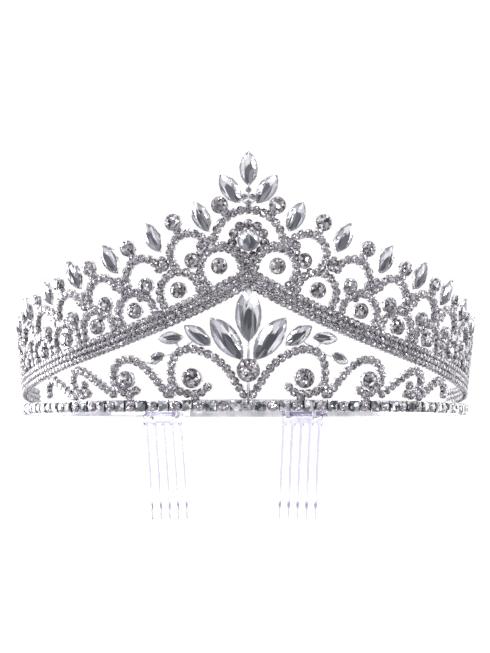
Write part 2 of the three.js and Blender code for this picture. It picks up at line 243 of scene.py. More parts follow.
def on_face(turn, height, out):
    """A point on the leaning face: degrees round from the front, height and distance out, in mm."""
    radius = ring_radius + height * math.tan(lean) + out * math.cos(lean)
    angle = math.radians(turn)
    level = height - out * math.sin(lean)
    return Vector((radius * math.sin(angle), -radius * math.cos(angle), level))


def face_matrix(place, out=0.0, spin=0.0, scale=1.0, tilt=lean):
    """x runs round the ring, y up the face and z out of it, then all of it turns by spin, in radians."""
    turn, height = place
    angle = math.radians(turn)
    x = Vector((math.cos(angle), math.sin(angle), 0))
    y = Vector((math.sin(angle) * math.sin(tilt), -math.cos(angle) * math.sin(tilt), math.cos(tilt)))
    z = x.cross(y)
    turned = Matrix((x, y, z)).transposed().to_4x4()
    return (
        Matrix.Translation(on_face(turn, height, out) * MM)
        @ turned
        @ Matrix.Rotation(spin, 4, "Z")
        @ Matrix.Scale(scale, 4)
    )


def copies(name, unit, matrices):
    """The unit at each of these places, each with a mesh of its own, joined into one object."""
    made = []
    for matrix in matrices:
        copy = unit.copy()
        copy.data = unit.data.copy()
        copy.data.transform(matrix)
        bpy.context.scene.collection.objects.link(copy)
        made.append(copy)
    return joined(name, made)


# Foiled lead glass, pressed and fire-polished: the patches of light and dark that the silvered back facets
# throw through a clear front are painted into the colour, a few to each small stone, so that no two stones
# read alike.
def foiled_glass(name, patch, tones):
    material, shader = new_material(
        name,
        {"Metallic": 1.0, "Roughness": 0.1, "Coat Weight": 1.0, "Coat Roughness": 0.03, "Coat IOR": 1.58},
    )
    place = add_node(material, "ShaderNodeTexCoord")
    facets = add_node(
        material,
        "ShaderNodeTexVoronoi",
        {"Scale": 1 / (patch * MM), "Randomness": 1.0},
        {"Vector": (place, "Object")},
    )
    channels = add_node(material, "ShaderNodeSeparateColor", {}, {"Color": (facets, "Color")})
    # Painted reflections: each cell's flat tone stands for the light or dark that a facet throws.
    tone = banded(material, (channels, "Red"), tones)
    drive(material, shader, "Base Color", tone, "Color")
    drive(material, shader, "Normal", turned_facets(material, facets, 0.7), "Vector")
    return material


def banded(material, source, tones):
    """A ramp of flat tones, given as (where it starts, colour)."""
    ramp = add_node(material, "ShaderNodeValToRGB", {}, {"Fac": source})
    ramp.color_ramp.interpolation = "CONSTANT"
    ramp.color_ramp.elements.remove(ramp.color_ramp.elements[1])
    ramp.color_ramp.elements[0].position = tones[0][0]
    ramp.color_ramp.elements[0].color = srgb(tones[0][1])
    for start, colour in tones[1:]:
        ramp.color_ramp.elements.new(start).color = srgb(colour)
    return ramp


def turned_facets(material, facets, swing):
    """The surface normal, turned a different way in each cell."""
    centred = add_node(
        material,
        "ShaderNodeVectorMath",
        {"operation": "SUBTRACT", 1: (0.5, 0.5, 0.5)},
        {0: (facets, "Color")},
    )
    swung = add_node(
        material, "ShaderNodeVectorMath", {"operation": "SCALE", "Scale": swing}, {0: (centred, "Vector")}
    )
    surface = add_node(material, "ShaderNodeNewGeometry")
    summed = add_node(
        material,
        "ShaderNodeVectorMath",
        {"operation": "ADD"},
        {0: (swung, "Vector"), 1: (surface, "Normal")},
    )
    return add_node(material, "ShaderNodeVectorMath", {"operation": "NORMALIZE"}, {0: (summed, "Vector")})


# In each ramp the dark tones are painted shade and the white ones painted glints, one tone to a cell.
small_crystal = foiled_glass(
    "foiled_glass_small_stones_painted_reflections",
    0.42,
    ((0.0, "#47444A"), (0.16, "#807B82"), (0.42, "#A19CA3"), (0.72, "#C2BDC4"), (0.93, "#F6F5F9")),
)
round_crystal = foiled_glass(
    "foiled_glass_round_stones_painted_reflections",
    0.72,
    ((0.0, "#2E2B30"), (0.18, "#645F65"), (0.4, "#8D888E"), (0.68, "#B8B3B9"), (0.9, "#F2F0F5")),
)
rail_crystal = foiled_glass(
    "foiled_glass_square_stones_painted_reflections",
    1.1,
    ((0.0, "#363A3E"), (0.22, "#71757A"), (0.48, "#A0A2A8"), (0.72, "#D3D3D8"), (0.9, "#F8F8FB")),
)


def cut_stone(name, sides, radius, girdle_at, crown, table, turned=0.0):
    """A stone on its culet: a thin girdle, a crown of facets up to the table, and the pavilion below."""
    girdle = 0.12 * MM
    bpy.ops.object.select_all(action="DESELECT")
    bpy.ops.mesh.primitive_cylinder_add(
        vertices=sides, radius=radius, depth=girdle, location=(0, 0, girdle_at), rotation=(0, 0, turned)
    )
    stone = bpy.context.object
    bpy.ops.object.transform_apply(location=True, rotation=True, scale=True)
    pick(stone, lambda face: face.normal.z > 0.9)
    bpy.ops.mesh.extrude_region_move(TRANSFORM_OT_translate={"value": (0, 0, crown)})
    bpy.ops.transform.resize(value=(table, table, 1), center_override=(0, 0, girdle_at + crown))
    bpy.ops.object.mode_set(mode="OBJECT")
    pick(stone, lambda face: face.normal.z < -0.9)
    bpy.ops.mesh.extrude_region_move(TRANSFORM_OT_translate={"value": (0, 0, -0.8 * girdle_at)})
    bpy.ops.transform.resize(value=(0.15, 0.15, 1), center_override=(0, 0, 0.2 * girdle_at))
    bpy.ops.object.mode_set(mode="OBJECT")
    stone.name = name
    return stone


def claw_cup(name, sides, radius, height, claws, claw_radius, claw_width, reach, turned=0.0, phase=0.5):
    """An open cup with claws that stand up from its wall and lean in over the stone's edge."""
    bpy.ops.object.select_all(action="DESELECT")
    bpy.ops.mesh.primitive_cylinder_add(
        vertices=sides, radius=radius, depth=height, location=(0, 0, height / 2), rotation=(0, 0, turned)
    )
    cup = bpy.context.object
    bpy.ops.object.transform_apply(location=True, rotation=True, scale=True)
    pick(cup, lambda face: face.normal.z > 0.9)
    bpy.ops.mesh.inset(thickness=0.07 * radius, depth=0)
    bpy.ops.mesh.extrude_region_move(TRANSFORM_OT_translate={"value": (0, 0, -0.6 * height)})
    bpy.ops.object.mode_set(mode="OBJECT")
    parts = [cup]
    for i in range(claws):
        bpy.ops.object.select_all(action="DESELECT")
        top = height + reach
        bpy.ops.mesh.primitive_cube_add(
            size=1, location=(claw_radius, 0, top / 2), scale=(claw_width, claw_width, top)
        )
        claw = bpy.context.object
        bpy.ops.object.transform_apply(location=True, rotation=True, scale=True)
        pick(claw, lambda face: face.normal.z > 0.9)
        bpy.ops.transform.resize(value=(0.8, 0.7, 1), center_override=(claw_radius, 0, top))
        bpy.ops.transform.translate(value=(-0.9 * claw_width, 0, 0))
        bpy.ops.object.mode_set(mode="OBJECT")
        claw.data.transform(Matrix.Rotation(turned + 2 * math.pi * (i + phase) / claws, 4, "Z"))
        parts.append(claw)
    return joined(name, parts)


square_stone = cut_stone(
    "square_stone",
    sides=4,
    radius=2.2 * MM,
    girdle_at=0.8 * MM,
    crown=0.4 * MM,
    table=0.66,
    turned=math.pi / 4,
)
square_cup = claw_cup(
    "square_cup",
    sides=4,
    radius=2.26 * MM,
    height=0.65 * MM,
    claws=4,
    claw_radius=2.08 * MM,
    claw_width=0.45 * MM,
    reach=0.35 * MM,
    turned=math.pi / 4,
    phase=0,
)
for unit in (square_stone, square_cup):
    unit.data.transform(Matrix.Diagonal((square_stretch, square_stretch, 1, 1)))
round_stone = cut_stone(
    "round_stone", sides=10, radius=1.62 * MM, girdle_at=0.8 * MM, crown=0.45 * MM, table=0.55
)
round_cup = claw_cup(
    "round_cup",
    sides=12,
    radius=1.68 * MM,
    height=0.65 * MM,
    claws=4,
    claw_radius=1.55 * MM,
    claw_width=0.4 * MM,
    reach=0.35 * MM,
)


def rail_matrices(odd):
    count = int(math.radians(stones_end - end_margin) * cup_ring / rail_pitch)
    made = []
    for i in range(-count, count + 1):
        if abs(i) % 2 == odd:
            turn = math.degrees(i * rail_pitch / cup_ring)
            made.append(face_matrix((turn, rail_height / 2), rail_seat, tilt=0.0))
    return made


rail_settings = (
    ("round", round_stone, round_cup, small_crystal),
    ("square", square_stone, square_cup, rail_crystal),
)
for odd, (shape, stone, cup, glass) in enumerate(rail_settings):
    places = rail_matrices(odd)
    stones = copies(f"rail_{shape}_stones", stone, places)
    piece(stones, f"rail_{shape}_stones", glass, stands_for=["base_stone_row"])
    cups = copies(f"rail_{shape}_cups", cup, places)
    piece(cups, f"rail_{shape}_cups", cup_silver_painted_shade)

# ---- Gable band --------------------------------------------------------------------------------
# Three lengths of fine cup chain lie side by side and fall from the peak to the rail on each side.
# Cup chain is a string of tiny foiled stones, each in a four-clawed cup linked to the next.

gable_pitch = 1.95
gable_row_pitch = 1.85
gable_row_radius = 0.75
gable_gap = 0.2  # between the gable's foot line and its first row
gable_seat = 0.4  # how far out from the face the cups' backs sit
apex_rise = 32.3
gable_fall = 41.0  # degrees over which the rise falls to about a third
gable_end = 102.0
gable_points = 34
taper_from = 45.0  # degrees from the front where everything starts to get lower
taper_run = 62.0
spacing_out = 1.0  # how far out from the face a chain's pitch is measured


def taper(turn):
    """How much of its full height the pattern keeps at this many degrees from the front."""
    return 1 - max(0.0, (turn - taper_from) / taper_run) ** 1.5


def gable_foot(turn):
    """The height of the line that the gable's rows lie above."""
    return rail_height + apex_rise * math.exp(-turn / gable_fall) * taper(turn)


def gable_slope(turn):
    return math.atan((gable_foot(turn) - gable_foot(turn + 1)) / (ring_radius * math.radians(1)))


def gable_row_height(turn, row):
    offset = gable_row_radius + gable_gap + row * gable_row_pitch
    return gable_foot(turn) + offset / math.cos(gable_slope(turn))


def smooth_line(places):
    """Close-set places on a smooth line through the given ones."""
    fine = []
    for i in range(len(places) - 1):
        before, a, b, after = (Vector(places[min(max(i + k, 0), len(places) - 1)]) for k in (-1, 0, 1, 2))
        for step in range(12):
            t = step / 12
            fine.append(
                0.5
                * (
                    2 * a
                    + (b - before) * t
                    + (2 * before - 5 * a + 4 * b - after) * t**2
                    + (3 * a - before - 3 * b + after) * t**3
                )
            )
    return fine + [Vector(places[-1])]


def along(places, pitch, first=0.5):
    """Evenly spaced [place, direction] pairs along a smooth line through places, about pitch apart."""
    fine = smooth_line(places)
    points = [on_face(p[0], p[1], spacing_out) for p in fine]
    lengths = [0.0]
    for a, b in zip(points, points[1:]):
        lengths.append(lengths[-1] + (b - a).length)
    count = max(1, round(lengths[-1] / pitch))
    made = []
    for i in range(count):
        target = lengths[-1] * (i + first) / count
        k = next(j for j in range(len(fine) - 1) if lengths[j + 1] >= target or j == len(fine) - 2)
        share = (target - lengths[k]) / max(lengths[k + 1] - lengths[k], 1e-9)
        where = fine[k].lerp(fine[k + 1], share)
        step = fine[k + 1] - fine[k]
        radius = ring_radius + where[1] * math.tan(lean)
        spin = math.atan2(step[1] / math.cos(lean), math.radians(step[0]) * radius)
        made.append(((where[0], where[1]), spin))
    return made


def bar(start, end, radius):
    """A straight length of round wire between two points in metres, its ends rounded off."""
    run = end - start
    bpy.ops.object.select_all(action="DESELECT")
    bpy.ops.mesh.primitive_cylinder_add(
        vertices=10,
        radius=radius,
        depth=run.length,
        location=(start + end) / 2,
        rotation=run.to_track_quat("Z", "Y").to_euler(),
    )
    made = bpy.context.object
    bpy.ops.object.transform_apply(location=True, rotation=True, scale=True)
    along_it = run.normalized()
    pick(made, lambda face: abs(face.normal.dot(along_it)) > 0.9)
    bpy.ops.mesh.inset(thickness=0.4 * radius, depth=0.3 * radius)
    bpy.ops.object.mode_set(mode="OBJECT")
    smooth(made, 60)
    return made


def chain_link(pitch, out, radius):
    """The metal between one cup of a chain and the next, behind the stones."""
    return bar(Vector((-0.5 * pitch, 0, out)) * MM, Vector((0.5 * pitch, 0, out)) * MM, radius * MM)


tiny_stone = cut_stone(
    "tiny_stone",
    sides=8,
    radius=1.02 * MM,
    girdle_at=1.0 * MM,
    crown=0.42 * MM,
    table=0.5,
    turned=math.pi / 8,
)
tiny_cup = claw_cup(
    "tiny_cup",
    sides=8,
    radius=1.08 * MM,
    height=0.95 * MM,
    claws=4,
    claw_radius=1.0 * MM,
    claw_width=0.34 * MM,
    reach=0.42 * MM,
    turned=math.pi / 8,
)
tiny_link = chain_link(gable_pitch, out=0.5, radius=0.8)


def mirrored(places, sign):
    return [(sign * turn, height) for turn, height in places]


for row, row_name in enumerate(("lower", "middle", "upper")):
    turns = [i * gable_end / gable_points for i in range(gable_points + 1)]
    half = [(turn, gable_row_height(turn, row)) for turn in turns]
    # The left half has the stone at the peak, and the right half starts with the next one.
    spots = along(mirrored(half, -1), gable_pitch, first=0.0) + along(half, gable_pitch, first=1.0)
    matrices = [face_matrix(place, gable_seat, spin) for place, spin in spots]
    name = f"gable_{row_name}"
    piece(
        copies(f"{name}_stones", tiny_stone, matrices),
        f"{name}_stones",
        small_crystal,
        stands_for=[f"gable_row_{row_name}"],
    )
    cups = [copies("cups", tiny_cup, matrices), copies("links", tiny_link, matrices)]
    piece(joined(f"{name}_cups", cups), f"{name}_cups", cup_silver_painted_shade)

# ---- Centre arch -------------------------------------------------------------------------------
# A half circle of cup chain a size larger, its ends on the first pair of scallops, with a round
# stone in a clawed cup soldered to each shoulder.

chain_pitch = 2.25
chain_seat = 0.1
big_setting = 4.6  # width across the round setting that the larger round stones are scaled from
arch_centre = (0.0, 48.3)
arch_radius = 10.1
arch_shoulder = 54.0
shoulder_tie = 1.6
shoulder_reach = 4.0
shoulder_stone = 5.0


def beside(place, right, up):
    """A place so many mm to the right of another and up the face from it."""
    level = place[1] + up * math.cos(lean)
    return (place[0] + math.degrees(right / (ring_radius + level * math.tan(lean))), level)


def around(centre, distance, angle):
    """A place so many mm from a centre, with the angle counted from the right, in degrees."""
    return beside(centre, distance * math.cos(math.radians(angle)), distance * math.sin(math.radians(angle)))


def arc(centre, radius, start, end, steps=12):
    """Places along an arc on the face, from one angle to another."""
    return [around(centre, radius, start + (end - start) * i / steps) for i in range(steps + 1)]


chain_stone = cut_stone(
    "chain_stone",
    sides=8,
    radius=1.3 * MM,
    girdle_at=1.15 * MM,
    crown=0.52 * MM,
    table=0.5,
    turned=math.pi / 8,
)
chain_cup = claw_cup(
    "chain_cup",
    sides=8,
    radius=1.36 * MM,
    height=1.1 * MM,
    claws=4,
    claw_radius=1.27 * MM,
    claw_width=0.4 * MM,
    reach=0.5 * MM,
    turned=math.pi / 8,
)
small_link = chain_link(chain_pitch, out=0.65, radius=0.85)
big_stone = cut_stone(
    "big_stone", sides=12, radius=2.15 * MM, girdle_at=1.45 * MM, crown=0.65 * MM, table=0.52
)
big_cup = claw_cup(
    "big_cup",
    sides=16,
    radius=2.28 * MM,
    height=1.35 * MM,
    claws=6,
    claw_radius=2.16 * MM,
    claw_width=0.46 * MM,
    reach=0.65 * MM,
)
pick(big_stone, lambda face: 0.2 < face.normal.z < 0.9)
bpy.ops.mesh.poke(offset=0.05 * MM)
bpy.ops.object.mode_set(mode="OBJECT")


def chained(name, chains, rounds, node):
    """Chains of small stones and some round ones, as (place, diameter), that make one soldered part."""
    spots = [spot for places in chains for spot in along(places, chain_pitch)]
    small = [face_matrix(place, chain_seat, spin) for place, spin in spots]
    large = [face_matrix(place, spin=0.3, scale=diameter / big_setting) for place, diameter in rounds]
    stones = copies("small", chain_stone, small)
    piece(stones, f"{name}_stones", small_crystal, stands_for=[node])
    cups = [copies("small_cups", chain_cup, small), copies("links", small_link, small)]
    if large:
        gems = copies("large", big_stone, large)
        piece(gems, f"{name}_rounds", round_crystal, stands_for=[node])
        cups.append(copies("large_cups", big_cup, large))
    piece(joined(f"{name}_cups", cups), f"{name}_cups", cup_silver_painted_shade)


arch_chains = [arc(arch_centre, arch_radius, -6, 186)]
arch_rounds = []
for angle in (arch_shoulder, 180 - arch_shoulder):
    arch_chains.append(arc(arch_centre, arch_radius + shoulder_tie, angle - 2, angle + 2, 1))
    arch_rounds.append((around(arch_centre, arch_radius + shoulder_reach, angle), shoulder_stone))
chained("centre_arch", arch_chains, arch_rounds, "centre_arch")

# ---- Halo --------------------------------------------------------------------------------------
# A close ring of small stones round one large round one, held between the arch's feet by an arm of
# two stones on each side and carried by the first pair of scallops, with one stone at its foot.

lower_radius = 6.1
lower_scallops = [4.7] + [14 + 10.5 * i for i in range(8)]
smallest_scallop = 0.4
scallop_gap = 0.3
peak_rise = 2.2  # how much higher the first scallops stand
halo_centre = (0.0, 49.6)
halo_radius = 4.7
halo_count = 11
halo_small = 2.9
halo_arm = [(4.6, 48.2), (7.0, 47.8)]
halo_foot = [(-0.8, 43.4), (0.8, 43.4)]
gem_radius = 3.1
inner_lift = 0.9  # how far above a lower scallop's centre its round stone sits
inner_width = 4.9


def scallop_scale(turn):
    return smallest_scallop + (1 - smallest_scallop) * taper(turn)


def lower_rise(turn):
    return 0.26 * lower_radius * scallop_scale(turn) + scallop_gap + peak_rise * math.exp(-turn / 8)


def lower_centre(turn):
    slope = gable_slope(turn)
    seat = gable_row_height(turn, 2) + (gable_row_radius + scallop_gap) / math.cos(slope)
    rise = lower_rise(turn)
    return beside((turn, seat), rise * math.sin(slope), rise * math.cos(slope))


def lower_scallop(turn):
    """The chain of a scallop that stands on the gable, and the place of its round stone."""
    scale = scallop_scale(turn)
    centre = lower_centre(turn)
    radius = lower_radius * scale
    slope = math.degrees(gable_slope(turn))
    spread = math.degrees(math.asin((lower_rise(turn) + 0.2) / radius))
    chain = arc(centre, radius, -spread - slope, 180 + spread - slope)
    return chain, (around(centre, inner_lift * scale, 90 - slope), inner_width * scale)


halo_chains = []
halo_rounds = []
for i in range(halo_count):
    halo_rounds.append((around(halo_centre, halo_radius, 90 + 360 * i / halo_count), halo_small))
for sign in (-1, 1):
    chain, (place, diameter) = lower_scallop(lower_scallops[0])
    halo_chains += [mirrored(chain, sign), mirrored(halo_arm, sign)]
    halo_rounds.append(((sign * place[0], place[1]), diameter))
halo_chains.append(halo_foot)
chained("halo", halo_chains, halo_rounds, "halo_ring")

# Foiled glass cut large, in painted reflections: it reads almost white, in streaks that run from end to end,
# with a painted grey shade line inside the edge and one painted slate patch low down, where the far side of
# the foil goes dark.
def large_glass():
    material, shader = new_material(
        "foiled_glass_large_stones_painted_reflections",
        {"Metallic": 1.0, "Roughness": 0.08, "Coat Weight": 1.0, "Coat Roughness": 0.02, "Coat IOR": 1.58},
    )
    place = add_node(material, "ShaderNodeTexCoord")
    stretched = add_node(
        material, "ShaderNodeVectorMath", {"operation": "MULTIPLY", 1: (6.5, 2.4, 0.0)}, {0: (place, "UV")}
    )
    drift = add_node(
        material,
        "ShaderNodeVectorMath",
        {"operation": "SCALE", "Scale": 1 / (11 * MM)},
        {0: (place, "Object")},
    )
    summed = add_node(
        material,
        "ShaderNodeVectorMath",
        {"operation": "ADD"},
        {0: (stretched, "Vector"), 1: (drift, "Vector")},
    )
    facets = add_node(material, "ShaderNodeTexVoronoi", {"Scale": 1.0}, {"Vector": (summed, "Vector")})
    channels = add_node(material, "ShaderNodeSeparateColor", {}, {"Color": (facets, "Color")})
    # The pale streaks are painted reflections.
    pale_tones = ((0.0, "#8C8A93"), (0.17, "#BFBDC7"), (0.42, "#E2E1E8"), (0.7, "#FCFCFF"))
    pale = banded(material, (channels, "Green"), pale_tones)
    # The slate patch is painted shade: the dark reflection of the foil's far side, low in the stone.
    slate = banded(material, (channels, "Blue"), ((0.0, "#484A51"), (0.4, "#686A72"), (0.8, "#94959E")))
    nudge = add_node(
        material, "ShaderNodeVectorMath", {"operation": "SCALE", "Scale": 0.16}, {0: (facets, "Color")}
    )
    nudged = add_node(
        material, "ShaderNodeVectorMath", {"operation": "ADD"}, {0: (place, "UV"), 1: (nudge, "Vector")}
    )
    from_core = add_node(
        material,
        "ShaderNodeVectorMath",
        {"operation": "SUBTRACT", 1: (0.58, 0.41, 0.08)},
        {0: (nudged, "Vector")},
    )
    squashed = add_node(
        material,
        "ShaderNodeVectorMath",
        {"operation": "MULTIPLY", 1: (3.5, 2.8, 0.0)},
        {0: (from_core, "Vector")},
    )
    reach = add_node(material, "ShaderNodeVectorMath", {"operation": "LENGTH"}, {0: (squashed, "Vector")})
    core = add_node(
        material, "ShaderNodeMapRange", {"From Min": 1.05, "From Max": 0.9}, {"Value": (reach, "Value")}
    )
    body = add_node(
        material,
        "ShaderNodeMix",
        {"data_type": "RGBA"},
        {0: (core, "Result"), 6: (pale, "Color"), 7: (slate, "Color")},
    )
    sides = add_node(material, "ShaderNodeSeparateXYZ", {}, {"Vector": (place, "UV")})
    across = add_node(material, "ShaderNodeMath", {"operation": "SUBTRACT", 1: 0.5}, {0: (sides, "X")})
    far = add_node(material, "ShaderNodeMath", {"operation": "ABSOLUTE"}, {0: (across, "Value")})
    up = add_node(material, "ShaderNodeMath", {"operation": "SUBTRACT", 1: 0.5}, {0: (sides, "Y")})
    square = add_node(
        material, "ShaderNodeMath", {"operation": "MULTIPLY"}, {0: (up, "Value"), 1: (up, "Value")}
    )
    edge = add_node(
        material,
        "ShaderNodeMath",
        {"operation": "MULTIPLY_ADD", 1: 2.0},
        {0: (square, "Value"), 2: (far, "Value")},
    )
    # The grey line just inside the edge is painted shade.
    rim = add_node(
        material,
        "ShaderNodeMapRange",
        {"From Min": 0.4, "From Max": 0.46, "To Max": 0.75},
        {"Value": (edge, "Value")},
    )
    final = add_node(
        material,
        "ShaderNodeMix",
        {"data_type": "RGBA", 7: srgb("#8B8890")},
        {0: (rim, "Result"), 6: (body, "Result")},
    )
    material.node_tree.links.new(final.outputs[2], shader.inputs["Base Color"])
    drive(material, shader, "Normal", turned_facets(material, facets, 0.35), "Vector")
    return material


large_crystal = large_glass()

halo_stone = cut_stone(
    "halo_stone", sides=12, radius=gem_radius * MM, girdle_at=1.7 * MM, crown=0.95 * MM, table=0.52
)
halo_cup = claw_cup(
    "halo_cup",
    sides=20,
    radius=3.25 * MM,
    height=1.6 * MM,
    claws=6,
    claw_radius=3.12 * MM,
    claw_width=0.5 * MM,
    reach=0.75 * MM,
)
pick(halo_stone, lambda face: 0.2 < face.normal.z < 0.9)
bpy.ops.mesh.poke(offset=0.06 * MM)
bpy.ops.object.mode_set(mode="OBJECT")
layer = halo_stone.data.uv_layers.active.data
for corner in halo_stone.data.loops:
    spot = halo_stone.data.vertices[corner.vertex_index].co
    layer[corner.index].uv = (0.5 + spot.x / (2 * gem_radius * MM), 0.5 + spot.y / (2 * gem_radius * MM))
halo_at = face_matrix(halo_centre, out=0.6, spin=0.26)
halo_gem = copies("halo_gem", halo_stone, [halo_at])
piece(halo_gem, "halo_gem", large_crystal, stands_for=["halo_stone"])
piece(copies("halo_gem_cup", halo_cup, [halo_at]), "halo_gem_cup", cup_silver_painted_shade)

# ---- Scallop lattice ---------------------------------------------------------------------------
# Two staggered rows of cup chain bent into scallops: the lower ones stand on the gable, the upper ones
# on those. Round stones sit inside each, and on each upper one's shoulder, soldered in clawed cups.

upper_radius = 5.9
upper_scallops = [12.3 + 10.5 * i for i in range(8)]
upper_lift = 8.0  # centre to centre, between the two rows at the sides
peak_lift = 4.0  # and how much more at the peak
edge_inward = 3.8
edge_lift = 11.3
edge_rise = {upper_scallops[0]: -0.8, upper_scallops[1]: 0.6}  # two navettes set one by one
upper_arc = (-42, 155)
first_arc = (-42, 150)
first_tie = [(10.2, 48.0), (9.6, 45.4)]  # from the first upper scallop to the arch's foot
foot_angle = 84  # where an upper scallop's foot stands on the lower one near it
foot_gap = 0.6
back_angle = -24  # and where its other end meets the last upper one
back_gap = 1.4
tie_angle = 300
drop_angle = 248
drop_reach = 2.2
drop_width = 4.7
shoulder_angle = 63
outer_reach = 10.3
outer_width = 5.0


def upper_centre(turn):
    lift = upper_lift + peak_lift * math.exp(-turn / 20)
    return (turn, lower_centre(turn)[1] + lift * scallop_scale(turn))


def edge_place(turn):
    scale = scallop_scale(turn)
    lift = edge_lift + edge_rise.get(turn, 0)
    return beside(upper_centre(turn), -edge_inward * scale, lift * scale)


def upper_scallop(i):
    """Its chain, the small stones that tie things to it, and its round stones."""
    turn = upper_scallops[i]
    scale = scallop_scale(turn)
    centre = upper_centre(turn)
    radius = upper_radius * scale
    near = lower_scallops[i + 1]
    foot = around(lower_centre(near), (lower_radius + foot_gap) * scallop_scale(near), foot_angle)
    if i > 0:
        last = upper_scallops[i - 1]
        back = [around(upper_centre(last), (upper_radius + back_gap) * scallop_scale(last), back_angle)]
        bend = arc(centre, radius, *upper_arc, 10)
    else:
        back = first_tie
        bend = arc(centre, radius, *first_arc, 10)
    chain = [foot] + bend + back
    drop = around(centre, drop_reach * scale, drop_angle)
    shoulder = around(centre, outer_reach * scale, shoulder_angle)
    point = beside(edge_place(turn), -2.4 * scale, -6.0 * scale)
    to_shoulder = [around(centre, radius + 1.0, shoulder_angle), around(shoulder, 2.0, shoulder_angle + 180)]
    under_navette = [point, beside(point, -0.4 * scale, -3.6 * scale)]
    under_drop = [around(drop, 3.2 * scale, tie_angle), around(drop, 4.6 * scale, tie_angle)]
    ties = [to_shoulder, under_navette, under_drop]
    return chain, ties, [(drop, drop_width * scale), (shoulder, (outer_width - 0.2 * i) * scale)]


for sign, side in ((-1, "left"), (1, "right")):
    chains = []
    rounds = []
    for turn in lower_scallops[1:]:
        chain, (place, diameter) = lower_scallop(turn)
        chains.append(mirrored(chain, sign))
        rounds.append(((sign * place[0], place[1]), diameter))
    for i in range(len(upper_scallops)):
        chain, ties, gems = upper_scallop(i)
        chains += [mirrored(chain, sign)] + [mirrored(tie, sign) for tie in ties]
        rounds += [((sign * place[0], place[1]), diameter) for place, diameter in gems]
    chained(f"lattice_{side}", chains, rounds, f"lattice_{side}")

# ---- Navettes: crest, upper edge and palmette --------------------------------------------------
# Boat-shaped foiled stones, each in a tray with a claw at both points and two on each long side. They
# fan out over the peak, lean away from it along the edge, and make the leaves under the gable.

# The trays' dark tone, laid in clouds, is painted shade standing in for their recesses.
tray_silver_painted_shade = plated("rhodium_plated_pressed_trays_painted_shade", "#66636A", "#FFFFFF", 0.18, 1.6)


def navette_blank(name, length, width, depth, base):
    """A prism whose plan is two arcs that meet in a point at each end."""
    reach = (length * length / 4 + width * width / 4) / width
    bpy.ops.object.select_all(action="DESELECT")
    bpy.ops.mesh.primitive_cylinder_add(
        vertices=30, radius=reach, depth=depth, location=(width / 2 - reach, 0, base + depth / 2)
    )
    blank = bpy.context.object
    bpy.ops.object.transform_apply(location=True, rotation=True, scale=True)
    bpy.ops.object.mode_set(mode="EDIT")
    bpy.ops.mesh.select_all(action="SELECT")
    bpy.ops.mesh.bisect(plane_co=(0, 0, 0), plane_no=(1, 0, 0), clear_inner=True, threshold=0.001 * MM)
    bpy.ops.object.mode_set(mode="OBJECT")
    mirror = blank.modifiers.new("halves", "MIRROR")
    mirror.use_axis = (True, False, False)
    mirror.merge_threshold = 0.01 * MM
    only(blank)
    bpy.ops.object.modifier_apply(modifier=mirror.name)
    bpy.ops.object.mode_set(mode="EDIT")
    bpy.ops.mesh.select_all(action="SELECT")
    bpy.ops.mesh.dissolve_limited(angle_limit=math.radians(1))
    bpy.ops.object.mode_set(mode="OBJECT")
    blank.name = name
    return blank


def navette_stone(name, length, width):
    """A navette on its culet, cut like the round ones. Its UV runs 0 to 1 across and along it."""
    girdle = 0.15 * MM
    girdle_at = 0.2 * width + 0.5 * MM
    culet = 0.4 * MM
    crown = 0.19 * width
    stone = navette_blank(name, length, width, girdle, girdle_at)
    pick(stone, lambda face: face.normal.z > 0.9)
    bpy.ops.mesh.extrude_region_move(TRANSFORM_OT_translate={"value": (0, 0, crown)})
    bpy.ops.transform.resize(value=(0.42, 0.6, 1), center_override=(0, 0, girdle_at))
    bpy.ops.object.mode_set(mode="OBJECT")
    pick(stone, lambda face: 0.1 < face.normal.z < 0.9)
    bpy.ops.mesh.poke(offset=0.04 * MM)
    bpy.ops.object.mode_set(mode="OBJECT")
    pick(stone, lambda face: face.normal.z < -0.9)
    bpy.ops.mesh.extrude_region_move(TRANSFORM_OT_translate={"value": (0, 0, culet - girdle_at)})
    bpy.ops.transform.resize(value=(0.2, 0.4, 1), center_override=(0, 0, culet))
    bpy.ops.object.mode_set(mode="OBJECT")
    layer = stone.data.uv_layers.active.data
    for corner in stone.data.loops:
        spot = stone.data.vertices[corner.vertex_index].co
        layer[corner.index].uv = (0.5 + spot.x / width, 0.5 + spot.y / length)
    return stone


